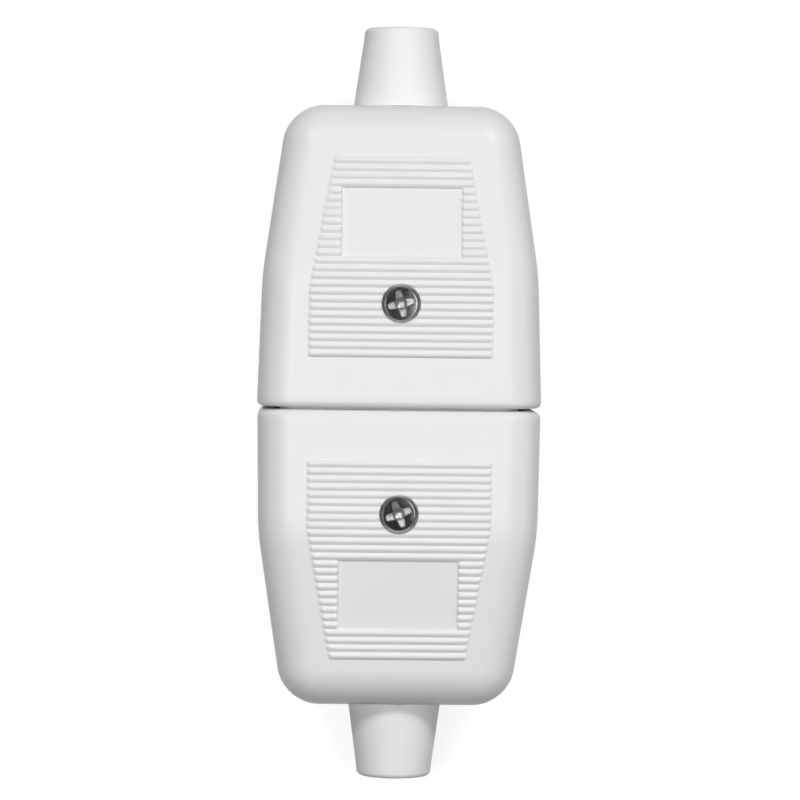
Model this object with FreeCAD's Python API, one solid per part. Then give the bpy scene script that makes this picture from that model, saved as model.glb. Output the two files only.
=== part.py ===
"""Inline mains connector in two halves that push together end to end, lying on its plain back.

+X is the width, +Y runs along the length towards the appliance end, +Z comes out of the ribbed face.
The origin is under the middle of the whole length, on the surface that the back rests on.

Each half is drawn in a frame of its own, with the seam at y = 0 and +Y towards its cord, and is then
turned and moved to its place. All lengths are millimetres.
"""
import FreeCAD
import Part
import math
import os
from dataclasses import dataclass

Vector = FreeCAD.Vector

# Outer form of the housing
THICKNESS = 28.0
JOINT_WIDTH = 39.5
SEAM_GAP = 0.35
PLUG_CREASE_Y = 18.5
PLUG_CREASE_DROP = 1.2
PLUG_END_Y = 42.0
PLUG_END_DROP = 6.7
PLUG_RIM_ROUND = 0.85
SOCKET_RIM_DROP = 0.2
SOCKET_CREASE_Y = 17.3
SOCKET_CREASE_DROP = 0.5
SOCKET_END_Y = 41.5
SOCKET_END_DROP = 7.3
SOCKET_RIM_ROUND = 1.2
END_THICKNESS = 21.8
CREASE_BLEND = 2.4
EDGE_ROUND = 5.0
END_ROUND = 5.0

# Shell walls and the parting line between front and back shell
WALL = 2.4
PARTING_STEP = 0.3
LIP_HEIGHT = 1.2
LIP_CLEARANCE = 0.1
LIP_START_Y = 1.6

# Grip ribs and the sunk label panel
RIB_COUNT = 26
RIB_PITCH = 1.065
RIB_FOOT = 0.88
RIB_TOP = 0.40
RIB_HEIGHT = 0.34
RIB_START_Y = 7.64
RIB_ROOT = 0.8
RIB_WIDE = 25.1
RIB_NARROW = 18.5
RIB_SLANT_Y = 16.6
LABEL_FIRST_RIB = 13
LABEL_RIBS = 9
LABEL_WIDTH = 16.6
LABEL_DEPTH = 0.12

# Cover screw, its bosses and its nut
BOSS_Y = 14.5
BOSS_R = 3.6
BOSS_NECK_R = 2.6
BOSS_COLLAR_HEIGHT = 1.0
SCREW_HOLE_R = 1.6
COUNTERBORE_R = 2.72
HEAD_SINK = 0.9
HEAD_R = 2.32
HEAD_HEIGHT = 1.9
HEAD_CHAMFER = 0.3
SHANK_R = 1.42
SCREW_LENGTH = 19.5
PILOT_SPARE = 0.5
RECESS_SPAN = 3.7
RECESS_WIDTH = 0.85
RECESS_DEPTH = 1.2
PLUG_RECESS_TURN = 11.0
SOCKET_RECESS_TURN = 199.0
NUT_R = 2.25
NUT_HEIGHT = 6.4
NUT_BORE_R = 1.5
NUT_CLEARANCE = 0.04

# Pins, and the block that carries them
SHROUD_DEPTH = 9.4
NOSE_CLEARANCE = 0.3
BLADE_WIDTH = 6.3
BLADE_THICKNESS = 1.5
BLADE_TIP_Y = 0.6
BLADE_TIP_CHAMFER = 0.5
POLE_INSET = 9.5
EARTH_RISE = 3.5
PIN_BLOCK_LENGTH = 4.2
FIT = 0.05
BLOCK_CLEARANCE = 0.1
TONGUE_HEIGHT = 1.0
TONGUE_LENGTH = 2.0
PIN_TONGUE_INSET = 1.1
BOSS_CLEARANCE = 0.2

# Contact block and contacts
NOSE_SIDE_GAP = 0.25
NOSE_LEAD_IN = 0.8
NOSE_FRONT_WALL = 0.9
CONTACT_BLOCK_END_Y = 10.6
CONTACT_TONGUE_Y = 3.0
SLOT_MARGIN = 0.3
CHAMBER_WIDTH = 7.4
CHAMBER_HEIGHT = 4.4
LEAF_THICKNESS = 0.6
LEAF_CLEARANCE = 0.1
LEAF_WIDTH = 5.8
LEAF_FLARE = 0.35
FORK_ROOT_Y = 4.5
STRAP_THICKNESS = 1.0
EYE_CLEARANCE = 0.3
EYE_WIDTH = 1.5

# Pillar terminals
PILLAR_SIZE = 7.0
PILLAR_CHAMFER = 0.5
WIRE_STOP = 1.2
POLE_PILLAR_Y = 14.2
EARTH_PILLAR_Y = 19.2
WIRE_HOLE_R = 1.7
TERMINAL_HEAD_R = 2.1
TERMINAL_HEAD_HEIGHT = 1.5
TERMINAL_SHANK_R = 1.4
TERMINAL_BITE = 0.5
SLOT_WIDTH = 0.6
SLOT_DEPTH = 0.7
CRADLE_CHEEK = 1.1
CRADLE_DEPTH = 2.0

# Cord guard and cord clamp
GUARD_BORE_R = 3.6
GUARD_TIP_ROUND = 0.8
GUARD_NECK_R = 5.2
GUARD_FLANGE_R = 8.1
GUARD_FLANGE_LENGTH = 2.4
GUARD_CLEARANCE = 0.1
PLUG_GUARD_BASE_R = 6.65
PLUG_GUARD_TIP_R = 5.15
PLUG_REACH = 53.1
SOCKET_GUARD_BASE_R = 6.54
SOCKET_GUARD_TIP_R = 5.2
SOCKET_REACH = 52.1
PLUG_CLAMP_TO_FLANGE = 2.6
SOCKET_CLAMP_TO_FLANGE = 2.2
CLAMP_LENGTH = 3.6
CLAMP_WIDTH = 23.0
CLAMP_PLATE = 2.2
CLAMP_ARCH_R = 3.4
CLAMP_ARCH_WALL = 1.8
CLAMP_SCREW_X = 8.4
CLAMP_HEAD_R = 2.2
CLAMP_HEAD_HEIGHT = 1.6
CLAMP_SHANK_R = 1.3
CLAMP_SCREW_LENGTH = 9.0

MID_Z = THICKNESS / 2
SEAM_Y = (SOCKET_REACH - PLUG_REACH) / 2
POLE_X = JOINT_WIDTH / 2 - POLE_INSET
HEAD_SEAT_Z = THICKNESS - HEAD_SINK - HEAD_HEIGHT
FAR = 100.0


@dataclass(frozen=True)
class Half:
    """The sizes in which the two halves differ, in the half's own frame."""

    name: str
    turn: float
    rim_width: float
    crease_y: float
    crease_drop: float
    end_y: float
    end_drop: float
    rim_round: float
    guard_base_r: float
    guard_tip_r: float
    reach: float
    clamp_to_flange: float
    recess_turn: float

    @property
    def crease_width(self):
        """Width where the sides bend inwards."""
        return self.rim_width - self.crease_drop

    @property
    def flange_y(self):
        """Inner face of the cord guard's flange."""
        return self.end_y - WALL - GUARD_CLEARANCE - GUARD_FLANGE_LENGTH

    @property
    def clamp_y(self):
        """Middle of the cord clamp."""
        return self.flange_y - self.clamp_to_flange - CLAMP_LENGTH / 2

    @property
    def face_slope(self):
        """Fall of the front face for each millimetre beyond the crease."""
        return (THICKNESS - END_THICKNESS) / 2 / (self.end_y - self.crease_y)

    def face_z(self, y):
        """Height of the front face at a distance y from the seam."""
        return THICKNESS - self.face_slope * max(0.0, y - self.crease_y)


PLUG = Half("plug", 0.0, JOINT_WIDTH, PLUG_CREASE_Y, PLUG_CREASE_DROP, PLUG_END_Y, PLUG_END_DROP,
            PLUG_RIM_ROUND, PLUG_GUARD_BASE_R, PLUG_GUARD_TIP_R, PLUG_REACH, PLUG_CLAMP_TO_FLANGE,
            PLUG_RECESS_TURN)
SOCKET = Half("socket", 180.0, JOINT_WIDTH - SOCKET_RIM_DROP, SOCKET_CREASE_Y, SOCKET_CREASE_DROP,
              SOCKET_END_Y, SOCKET_END_DROP, SOCKET_RIM_ROUND, SOCKET_GUARD_BASE_R, SOCKET_GUARD_TIP_R,
              SOCKET_REACH, SOCKET_CLAMP_TO_FLANGE, SOCKET_RECESS_TURN)


def rounded_wire(points, blends):
    """Closed wire through the points; a corner with a blend gets the arc that starts that far from it."""
    starts, arcs, ends = [], [], []
    for i, corner in enumerate(points):
        blend = blends.get(i, 0.0)
        to_last = (points[i - 1] - corner).normalize()
        to_next = (points[(i + 1) % len(points)] - corner).normalize()
        starts.append(corner + to_last * blend)
        ends.append(corner + to_next * blend)
        if blend:
            half = to_last.getAngle(to_next) / 2
            inward = (to_last + to_next).normalize()
            middle = corner + inward * (blend / math.cos(half) - blend * math.tan(half))
            arcs.append(Part.Arc(starts[-1], middle, ends[-1]).toShape())
        else:
            arcs.append(None)
    edges = []
    for i in range(len(points)):
        if arcs[i]:
            edges.append(arcs[i])
        edges.append(Part.makeLine(ends[i], starts[(i + 1) % len(points)]))
    return Part.Wire(edges)


def prism(wire, along):
    """Solid swept from a flat closed wire along a vector."""
    return Part.Face(wire).extrude(along)


def box(x0, x1, y0, y1, z0, z1):
    """Box between two opposite corners."""
    return Part.makeBox(x1 - x0, y1 - y0, z1 - z0, Vector(x0, y0, z0))


def rod(radius, x, y, z0, z1):
    """Upright cylinder."""
    return Part.makeCylinder(radius, z1 - z0, Vector(x, y, z0), Vector(0, 0, 1))


def rod_along(radius, x, z, y0, y1):
    """Cylinder along the half's length."""
    return Part.makeCylinder(radius, y1 - y0, Vector(x, y0, z), Vector(0, 1, 0))


def level_edges(shape, y):
    """Edges that lie in the plane at y."""
    return [e for e in shape.Edges
            if abs(e.BoundBox.YMin - y) < 1e-4 and abs(e.BoundBox.YMax - y) < 1e-4]


def housing_form(half, inset, start_y, rim_round=0.0):
    """The half's tapered rounded block, drawn in by an inset, from start_y to its end."""
    end_y = half.end_y - inset
    slope = half.end_drop / 2 / (half.end_y - half.crease_y)
    rim = half.rim_width / 2 - inset
    crease = half.crease_width / 2 - inset
    end = crease - slope * (end_y - half.crease_y)
    plan = [Vector(-rim, start_y, 0), Vector(rim, start_y, 0), Vector(crease, half.crease_y, 0),
            Vector(end, end_y, 0), Vector(-end, end_y, 0), Vector(-crease, half.crease_y, 0)]
    deep = MID_Z - inset
    thin = deep - half.face_slope * (end_y - half.crease_y)
    side = [Vector(0, start_y, MID_Z - deep), Vector(0, half.crease_y, MID_Z - deep),
            Vector(0, end_y, MID_Z - thin), Vector(0, end_y, MID_Z + thin),
            Vector(0, half.crease_y, MID_Z + deep), Vector(0, start_y, MID_Z + deep)]
    across = prism(rounded_wire(side, {1: CREASE_BLEND, 4: CREASE_BLEND}), Vector(FAR, 0, 0))
    across.translate(Vector(-FAR / 2, 0, 0))
    upright = prism(rounded_wire(plan, {2: CREASE_BLEND, 5: CREASE_BLEND}), Vector(0, 0, FAR))
    upright.translate(Vector(0, 0, MID_Z - FAR / 2))
    body = upright.common(across).Solids[0]
    long_edges = [e for e in body.Edges if e.BoundBox.YLength > 0.1]
    body = body.makeFillet(EDGE_ROUND - inset, long_edges)
    body = body.makeFillet(END_ROUND - inset, level_edges(body, end_y))
    if rim_round:
        body = body.makeFillet(rim_round, level_edges(body, start_y))
    return body


def outer_form(half):
    """The housing's outside, both shells together."""
    return housing_form(half, 0.0, SEAM_GAP / 2, half.rim_round)


def ring_between(half, outer_inset, inner_inset, y0, y1, z0, z1):
    """A band of the wall between two insets, cut to a box."""
    band = housing_form(half, outer_inset, SEAM_GAP / 2).cut(housing_form(half, inner_inset, -1.0))
    return band.common(box(-FAR, FAR, y0, y1, z0, z1))


def rib_comb(half):
    """The grip's row of ribs with their moulding draft, and a root that sinks into the shell."""
    def on_face(y, rise):
        return Vector(0, y, half.face_z(y) + rise)

    start = RIB_START_Y - RIB_PITCH / 2
    finish = start + RIB_COUNT * RIB_PITCH
    outline = [on_face(start, 0)]
    for i in range(RIB_COUNT):
        y = RIB_START_Y + i * RIB_PITCH
        outline += [on_face(y - RIB_FOOT / 2, 0), on_face(y - RIB_TOP / 2, RIB_HEIGHT),
                    on_face(y + RIB_TOP / 2, RIB_HEIGHT), on_face(y + RIB_FOOT / 2, 0)]
    outline += [on_face(finish, 0), on_face(finish, -RIB_ROOT), on_face(half.crease_y, -RIB_ROOT),
                on_face(start, -RIB_ROOT)]
    comb = prism(Part.makePolygon(outline + outline[:1]), Vector(FAR, 0, 0))
    comb.translate(Vector(-FAR / 2, 0, 0))
    wide, narrow = RIB_WIDE / 2, RIB_NARROW / 2
    plan = [Vector(-wide, start, 0), Vector(wide, start, 0), Vector(wide, RIB_SLANT_Y, 0),
            Vector(narrow, finish, 0), Vector(-narrow, finish, 0), Vector(-wide, RIB_SLANT_Y, 0)]
    return comb.common(prism(Part.makePolygon(plan + plan[:1]), Vector(0, 0, 2 * THICKNESS)))


def label_pocket(half):
    """The sunk panel among the ribs, parallel to the sloping face."""
    y0 = RIB_START_Y + (LABEL_FIRST_RIB - 0.5) * RIB_PITCH
    y1 = y0 + LABEL_RIBS * RIB_PITCH
    floor_0 = half.face_z(y0) - LABEL_DEPTH
    floor_1 = half.face_z(y1) - LABEL_DEPTH
    rise = Vector(0, 0, 4 * RIB_HEIGHT)
    side = [Vector(-LABEL_WIDTH / 2, y0, floor_0), Vector(-LABEL_WIDTH / 2, y1, floor_1)]
    side += [side[1] + rise, side[0] + rise]
    return prism(Part.makePolygon(side + side[:1]), Vector(LABEL_WIDTH, 0, 0))


def tongue_groove(half, y):
    """Groove in the shell walls for the tongue of the block that they hold, its near side at y."""
    return housing_form(half, WALL - TONGUE_HEIGHT - BLOCK_CLEARANCE, -1.0).common(
        box(-FAR, FAR, y - BLOCK_CLEARANCE, y + TONGUE_LENGTH + BLOCK_CLEARANCE, -FAR, FAR))


def guard_seat(half):
    """Room for the cord guard's neck and flange in the shells."""
    neck = rod_along(GUARD_NECK_R + GUARD_CLEARANCE, 0, MID_Z, half.end_y - 2 * WALL, half.end_y + WALL)
    flange = rod_along(GUARD_FLANGE_R + GUARD_CLEARANCE, 0, MID_Z,
                       half.flange_y - GUARD_CLEARANCE, half.end_y - WALL)
    return neck.fuse(flange)


def hollow_shells(half, tongue_y):
    """Both shells of a half as one hollow form, before they part at the middle."""
    form = outer_form(half).cut(housing_form(half, WALL, -1.0))
    return form.cut(tongue_groove(half, tongue_y)).cut(guard_seat(half))


def cover(half, hollow):
    """Front shell: ribbed grip, sunk panel, counterbored boss and the rebate for the back shell's lip."""
    shell = hollow.common(box(-FAR, FAR, -FAR, FAR, MID_Z, FAR))
    rebate = ring_between(half, WALL / 2 - LIP_CLEARANCE, WALL + 1.0, LIP_START_Y - LIP_CLEARANCE,
                          half.flange_y, MID_Z - 1.0, MID_Z + LIP_HEIGHT + LIP_CLEARANCE)
    shell = shell.cut(rebate)
    boss = rod(BOSS_R, 0, BOSS_Y, HEAD_SEAT_Z - BOSS_COLLAR_HEIGHT, THICKNESS - WALL / 2)
    boss = boss.fuse(rod(BOSS_NECK_R, 0, BOSS_Y, MID_Z + FIT, THICKNESS - WALL / 2))
    shell = shell.fuse([boss, rib_comb(half)])
    shell = shell.cut(label_pocket(half))
    shell = shell.cut(rod(COUNTERBORE_R, 0, BOSS_Y, HEAD_SEAT_Z, FAR))
    return shell.cut(rod(SCREW_HOLE_R, 0, BOSS_Y, 0, FAR))


def base(half, hollow):
    """Back shell: lip, nut boss, terminal cradles and the clamp's saddle."""
    shell = hollow.common(box(-FAR, FAR, -FAR, FAR, -FAR, MID_Z))
    edge_step = ring_between(half, -1.0, PARTING_STEP, -1.0, FAR, MID_Z - PARTING_STEP, MID_Z + 1.0)
    lip = ring_between(half, WALL / 2, WALL, LIP_START_Y, half.flange_y - GUARD_CLEARANCE,
                       MID_Z - WALL, MID_Z + LIP_HEIGHT)
    floor = WALL / 2
    boss = rod(BOSS_R, 0, BOSS_Y, floor, MID_Z - FIT)
    additions = [lip, boss, saddle(half), earth_post()]
    additions += [pole_cradle(side * POLE_X) for side in (-1, 1)]
    shell = shell.cut(edge_step).fuse(additions)
    shell = shell.cut(tongue_groove(half, block_tongue_y(half)))
    nut_pocket = rod(NUT_R + NUT_CLEARANCE, 0, BOSS_Y, MID_Z - FIT - NUT_HEIGHT, FAR)
    pilot = rod(SCREW_HOLE_R, 0, BOSS_Y, HEAD_SEAT_Z - SCREW_LENGTH - PILOT_SPARE, FAR)
    shell = shell.cut(nut_pocket).cut(pilot)
    for side in (-1, 1):
        hole_end = MID_Z + CLAMP_PLATE - CLAMP_SCREW_LENGTH - PILOT_SPARE
        shell = shell.cut(rod(CLAMP_SHANK_R + FIT, side * CLAMP_SCREW_X, half.clamp_y, hole_end, MID_Z + 1))
    return shell


def block_tongue_y(half):
    """Near side of the tongue of the block that this half's shells hold."""
    return SHROUD_DEPTH + PIN_TONGUE_INSET if half is PLUG else CONTACT_TONGUE_Y


def pole_cradle(x):
    """Post with a shallow pocket for a pole's pillar."""
    low, high = WALL / 2, MID_Z - PILLAR_SIZE / 2
    wide = PILLAR_SIZE / 2 + FIT + CRADLE_CHEEK
    post = box(x - wide, x + wide, POLE_PILLAR_Y, POLE_PILLAR_Y + PILLAR_SIZE, low, high + CRADLE_DEPTH)
    pocket = PILLAR_SIZE / 2 + FIT
    return post.cut(box(x - pocket, x + pocket, POLE_PILLAR_Y - 1, POLE_PILLAR_Y + PILLAR_SIZE + 1,
                        high, FAR))


def earth_post():
    """Post under the earth pillar."""
    half_width = PILLAR_SIZE / 2
    return box(-half_width, half_width, EARTH_PILLAR_Y, EARTH_PILLAR_Y + PILLAR_SIZE,
               WALL / 2, MID_Z + EARTH_RISE - PILLAR_SIZE / 2)


def saddle(half):
    """Wall across the back shell with a half-round seat for the cord."""
    y0, y1 = half.clamp_y - CLAMP_LENGTH / 2, half.clamp_y + CLAMP_LENGTH / 2
    wall = box(-CLAMP_WIDTH / 2, CLAMP_WIDTH / 2, y0, y1, WALL / 2, MID_Z)
    wall = wall.common(outer_form(half))
    return wall.cut(rod_along(CLAMP_ARCH_R, 0, MID_Z, y0 - 1, y1 + 1))


def clamp_bar(half):
    """Saddle-shaped bar that holds the cord down, with a plate at each side for its screws."""
    y0, y1 = half.clamp_y - CLAMP_LENGTH / 2, half.clamp_y + CLAMP_LENGTH / 2
    plate = box(-CLAMP_WIDTH / 2, CLAMP_WIDTH / 2, y0, y1, MID_Z, MID_Z + CLAMP_PLATE)
    hump = rod_along(CLAMP_ARCH_R + CLAMP_ARCH_WALL, 0, MID_Z, y0, y1)
    bar = plate.fuse(hump.common(box(-FAR, FAR, -FAR, FAR, MID_Z, FAR)))
    bar = bar.cut(rod_along(CLAMP_ARCH_R, 0, MID_Z, y0 - 1, y1 + 1))
    for side in (-1, 1):
        bar = bar.cut(rod(SCREW_HOLE_R, side * CLAMP_SCREW_X, half.clamp_y, 0, FAR))
    return bar


def slotted_screw(head_r, head_height, shank_r, length):
    """Cheese-head screw that hangs from the underside of its head at the origin."""
    screw = rod(head_r, 0, 0, 0, head_height).fuse(rod(shank_r, 0, 0, -length, 0))
    slot = box(-SLOT_WIDTH / 2, SLOT_WIDTH / 2, -head_r, head_r, head_height - SLOT_DEPTH, head_height + 1)
    return screw.cut(slot)


def clamp_screw(half, side):
    """Screw through one end of the clamp bar into the saddle."""
    screw = slotted_screw(CLAMP_HEAD_R, CLAMP_HEAD_HEIGHT, CLAMP_SHANK_R, CLAMP_SCREW_LENGTH)
    screw.translate(Vector(side * CLAMP_SCREW_X, half.clamp_y, MID_Z + CLAMP_PLATE))
    return screw


def cover_screw(half):
    """Pan-head screw with a cross recess, from the front shell down into the nut."""
    head = rod(HEAD_R, 0, 0, 0, HEAD_HEIGHT)
    rim = [e for e in head.Edges if abs(e.BoundBox.ZMin - HEAD_HEIGHT) < 1e-6]
    head = head.makeChamfer(HEAD_CHAMFER, rim)
    screw = head.fuse(rod(SHANK_R, 0, 0, -SCREW_LENGTH, 0))
    arm = box(-RECESS_SPAN / 2, RECESS_SPAN / 2, -RECESS_WIDTH / 2, RECESS_WIDTH / 2,
              HEAD_HEIGHT - RECESS_DEPTH, HEAD_HEIGHT + 1)
    other = arm.copy()
    other.rotate(Vector(0, 0, 0), Vector(0, 0, 1), 90)
    screw = screw.cut(arm.fuse(other))
    screw.rotate(Vector(0, 0, 0), Vector(0, 0, 1), half.recess_turn)
    screw.translate(Vector(0, BOSS_Y, HEAD_SEAT_Z))
    return screw


def cover_nut(half):
    """Round brass nut pressed into the top of the back shell's boss."""
    nut = rod(NUT_R, 0, BOSS_Y, MID_Z - FIT - NUT_HEIGHT, MID_Z - FIT)
    return nut.cut(rod(NUT_BORE_R, 0, BOSS_Y, 0, FAR))


def cord_guard(half):
    """Flexible tapered sleeve, gripped at its neck by the end walls of both shells."""
    profile = [Vector(GUARD_BORE_R, half.flange_y, 0), Vector(GUARD_FLANGE_R, half.flange_y, 0),
               Vector(GUARD_FLANGE_R, half.flange_y + GUARD_FLANGE_LENGTH, 0),
               Vector(GUARD_NECK_R, half.flange_y + GUARD_FLANGE_LENGTH, 0),
               Vector(GUARD_NECK_R, half.end_y + GUARD_CLEARANCE, 0),
               Vector(half.guard_base_r, half.end_y + GUARD_CLEARANCE, 0),
               Vector(half.guard_tip_r, half.reach, 0), Vector(GUARD_BORE_R, half.reach, 0)]
    guard = Part.Face(rounded_wire(profile, {6: GUARD_TIP_ROUND}))
    guard = guard.revolve(Vector(0, 0, 0), Vector(0, 1, 0), 360)
    guard.translate(Vector(0, 0, MID_Z))
    return guard


def pillar(x, y, z):
    """Terminal block with a wire hole along the length and a screw hole from the front."""
    half_size = PILLAR_SIZE / 2
    block = box(x - half_size, x + half_size, y, y + PILLAR_SIZE, z - half_size, z + half_size)
    block = block.makeChamfer(PILLAR_CHAMFER, [e for e in block.Edges if e.BoundBox.ZLength > 1])
    block = block.cut(rod_along(WIRE_HOLE_R, x, z, y + WIRE_STOP, y + PILLAR_SIZE + 1))
    return block.cut(rod(TERMINAL_SHANK_R + FIT, x, y + half_size, z, z + PILLAR_SIZE))


def terminal_screw(x, y, z):
    """Screw that comes down on the wire in a pillar."""
    length = PILLAR_SIZE / 2 - WIRE_HOLE_R + TERMINAL_BITE
    screw = slotted_screw(TERMINAL_HEAD_R, TERMINAL_HEAD_HEIGHT, TERMINAL_SHANK_R, length)
    screw.translate(Vector(x, y + PILLAR_SIZE / 2, z + PILLAR_SIZE / 2))
    return screw


def strip(x, z, width, thickness, y0, y1):
    """Flat bar along the length."""
    return box(x - width / 2, x + width / 2, y0, y1, z - thickness / 2, z + thickness / 2)


def eye_strap(y0):
    """Earth strap from y0 round the screw boss to the earth pillar."""
    z = MID_Z + EARTH_RISE
    inner = BOSS_NECK_R + EYE_CLEARANCE
    outer = inner + EYE_WIDTH
    ring = rod(outer, 0, BOSS_Y, z - STRAP_THICKNESS / 2, z + STRAP_THICKNESS / 2)
    front = strip(0, z, BLADE_WIDTH - 2 * EYE_WIDTH, STRAP_THICKNESS, y0, BOSS_Y - inner)
    back = strip(0, z, BLADE_WIDTH - 2 * EYE_WIDTH, STRAP_THICKNESS, BOSS_Y + inner, EARTH_PILLAR_Y + 1)
    return ring.fuse([front, back]).cut(rod(inner, 0, BOSS_Y, 0, FAR))


def blade(x, z, back_y):
    """Flat pin with a chamfered tip, from its tip inside the shroud back to back_y."""
    pin = strip(x, z, BLADE_WIDTH, BLADE_THICKNESS, BLADE_TIP_Y, back_y)
    return pin.makeChamfer(BLADE_TIP_CHAMFER, level_edges(pin, BLADE_TIP_Y))


def fork(x, z):
    """Pair of spring leaves that flare at the mouth and join behind the pin's tip."""
    gap = BLADE_THICKNESS / 2 + LEAF_CLEARANCE
    out = gap + LEAF_THICKNESS
    mouth = NOSE_FRONT_WALL + NOSE_CLEARANCE - SHROUD_DEPTH + 0.2
    throat = mouth + 1.5
    leaf = [Vector(x, mouth, z + gap + LEAF_FLARE), Vector(x, mouth, z + out + LEAF_FLARE),
            Vector(x, throat, z + out), Vector(x, FORK_ROOT_Y, z + out), Vector(x, FORK_ROOT_Y, z - out),
            Vector(x, throat, z - out), Vector(x, mouth, z - out - LEAF_FLARE),
            Vector(x, mouth, z - gap - LEAF_FLARE), Vector(x, throat, z - gap),
            Vector(x, FORK_ROOT_Y - LEAF_THICKNESS, z - gap),
            Vector(x, FORK_ROOT_Y - LEAF_THICKNESS, z + gap), Vector(x, throat, z + gap)]
    form = prism(Part.makePolygon(leaf + leaf[:1]), Vector(LEAF_WIDTH, 0, 0))
    form.translate(Vector(-LEAF_WIDTH / 2, 0, 0))
    return form


def pole_pin(x):
    """Live or neutral pin with its pillar."""
    return blade(x, MID_Z, POLE_PILLAR_Y + 1).fuse(pillar(x, POLE_PILLAR_Y, MID_Z))


def earth_pin():
    """Earth pin, its eyed strap and its pillar."""
    z = MID_Z + EARTH_RISE
    front = BOSS_Y - BOSS_NECK_R - EYE_CLEARANCE - EYE_WIDTH / 2
    return blade(0, z, front).fuse([eye_strap(front - 1), pillar(0, EARTH_PILLAR_Y, z)])


def pole_contact(x):
    """Live or neutral contact with its pillar."""
    neck = strip(x, MID_Z, LEAF_WIDTH, BLADE_THICKNESS, FORK_ROOT_Y - LEAF_THICKNESS, POLE_PILLAR_Y + 1)
    return fork(x, MID_Z).fuse([neck, pillar(x, POLE_PILLAR_Y, MID_Z)])


def earth_contact():
    """Earth contact, its eyed strap and its pillar."""
    z = MID_Z + EARTH_RISE
    return fork(0, z).fuse([eye_strap(FORK_ROOT_Y - LEAF_THICKNESS), pillar(0, EARTH_PILLAR_Y, z)])


def boss_room(strap_room):
    """What a block leaves clear for the screw bosses and the earth strap's eye."""
    z = MID_Z + EARTH_RISE
    collar_z = HEAD_SEAT_Z - BOSS_COLLAR_HEIGHT
    room = rod(BOSS_NECK_R + BOSS_CLEARANCE, 0, BOSS_Y, 0, FAR)
    room = room.fuse(rod(BOSS_R + BOSS_CLEARANCE, 0, BOSS_Y, -FAR, MID_Z + BOSS_CLEARANCE))
    room = room.fuse(rod(BOSS_R + BOSS_CLEARANCE, 0, BOSS_Y, collar_z - BOSS_CLEARANCE, FAR))
    if strap_room:
        outer = BOSS_NECK_R + EYE_CLEARANCE + EYE_WIDTH + BLOCK_CLEARANCE
        thick = STRAP_THICKNESS / 2 + BLOCK_CLEARANCE
        room = room.fuse(rod(outer, 0, BOSS_Y, z - thick, z + thick))
    return room


def pin_block():
    """Insulating wall across the shroud's bottom, with a tongue held in the shells' groove."""
    y0, y1 = SHROUD_DEPTH, SHROUD_DEPTH + PIN_BLOCK_LENGTH
    tongue_y = block_tongue_y(PLUG)
    wall = housing_form(PLUG, WALL + BLOCK_CLEARANCE, -1.0).common(box(-FAR, FAR, y0, y1, -FAR, FAR))
    tongue = housing_form(PLUG, WALL - TONGUE_HEIGHT, -1.0).common(
        box(-FAR, FAR, tongue_y, tongue_y + TONGUE_LENGTH, -FAR, FAR))
    block = wall.fuse(tongue)
    fit = 2 * FIT
    for x, z in ((-POLE_X, MID_Z), (POLE_X, MID_Z), (0, MID_Z + EARTH_RISE)):
        block = block.cut(strip(x, z, BLADE_WIDTH + fit, BLADE_THICKNESS + fit, y0 - 1,
                                y1 + 1 if x else BOSS_Y - BOSS_NECK_R))
    return block.cut(boss_room(True))


def contact_block():
    """Insulating nose with three slots, and the chambers behind them that the contacts slide into."""
    front = NOSE_CLEARANCE - SHROUD_DEPTH
    half_width = min(PLUG.crease_width, SOCKET.crease_width) / 2 - WALL - NOSE_SIDE_GAP
    half_height = MID_Z - WALL - NOSE_SIDE_GAP
    body = box(-half_width, half_width, front, CONTACT_BLOCK_END_Y, MID_Z - half_height, MID_Z + half_height)
    body = body.makeFillet(EDGE_ROUND - WALL, [e for e in body.Edges if e.BoundBox.YLength > 1])
    body = body.makeChamfer(NOSE_LEAD_IN, level_edges(body, front))
    tongue = housing_form(SOCKET, WALL - TONGUE_HEIGHT, -1.0).common(
        box(-FAR, FAR, CONTACT_TONGUE_Y, CONTACT_TONGUE_Y + TONGUE_LENGTH, -FAR, FAR))
    body = body.fuse(tongue)
    for x, z in ((-POLE_X, MID_Z), (POLE_X, MID_Z), (0, MID_Z + EARTH_RISE)):
        slot = strip(x, z, BLADE_WIDTH + 2 * SLOT_MARGIN, BLADE_THICKNESS + 2 * SLOT_MARGIN,
                     front - 1, front + NOSE_FRONT_WALL + 1)
        chamber = strip(x, z, CHAMBER_WIDTH, CHAMBER_HEIGHT, front + NOSE_FRONT_WALL, CONTACT_BLOCK_END_Y + 1)
        body = body.cut(slot.fuse(chamber))
    return body.cut(boss_room(False))


def place(half, shape):
    """Turns and moves a shape from the half's own frame to its place in the connector."""
    shape.rotate(Vector(0, 0, 0), Vector(0, 0, 1), half.turn)
    shape.translate(Vector(0, SEAM_Y, 0))
    return shape


def half_pieces(half):
    """Every piece that the two halves have alike, by name."""
    hollow = hollow_shells(half, block_tongue_y(half))
    live = 1 if half is PLUG else -1
    return {
        "cover": cover(half, hollow),
        "base": base(half, hollow),
        "cord_guard": cord_guard(half),
        "cover_screw": cover_screw(half),
        "cover_nut": cover_nut(half),
        "clamp_bar": clamp_bar(half),
        "clamp_screw_left": clamp_screw(half, -live),
        "clamp_screw_right": clamp_screw(half, live),
        "live_terminal_screw": terminal_screw(live * POLE_X, POLE_PILLAR_Y, MID_Z),
        "neutral_terminal_screw": terminal_screw(-live * POLE_X, POLE_PILLAR_Y, MID_Z),
        "earth_terminal_screw": terminal_screw(0, EARTH_PILLAR_Y, MID_Z + EARTH_RISE),
    }


def plug_inner():
    """The appliance half's block and pins."""
    return {"pin_block": pin_block(), "live_pin": pole_pin(POLE_X), "neutral_pin": pole_pin(-POLE_X),
            "earth_pin": earth_pin()}


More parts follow.
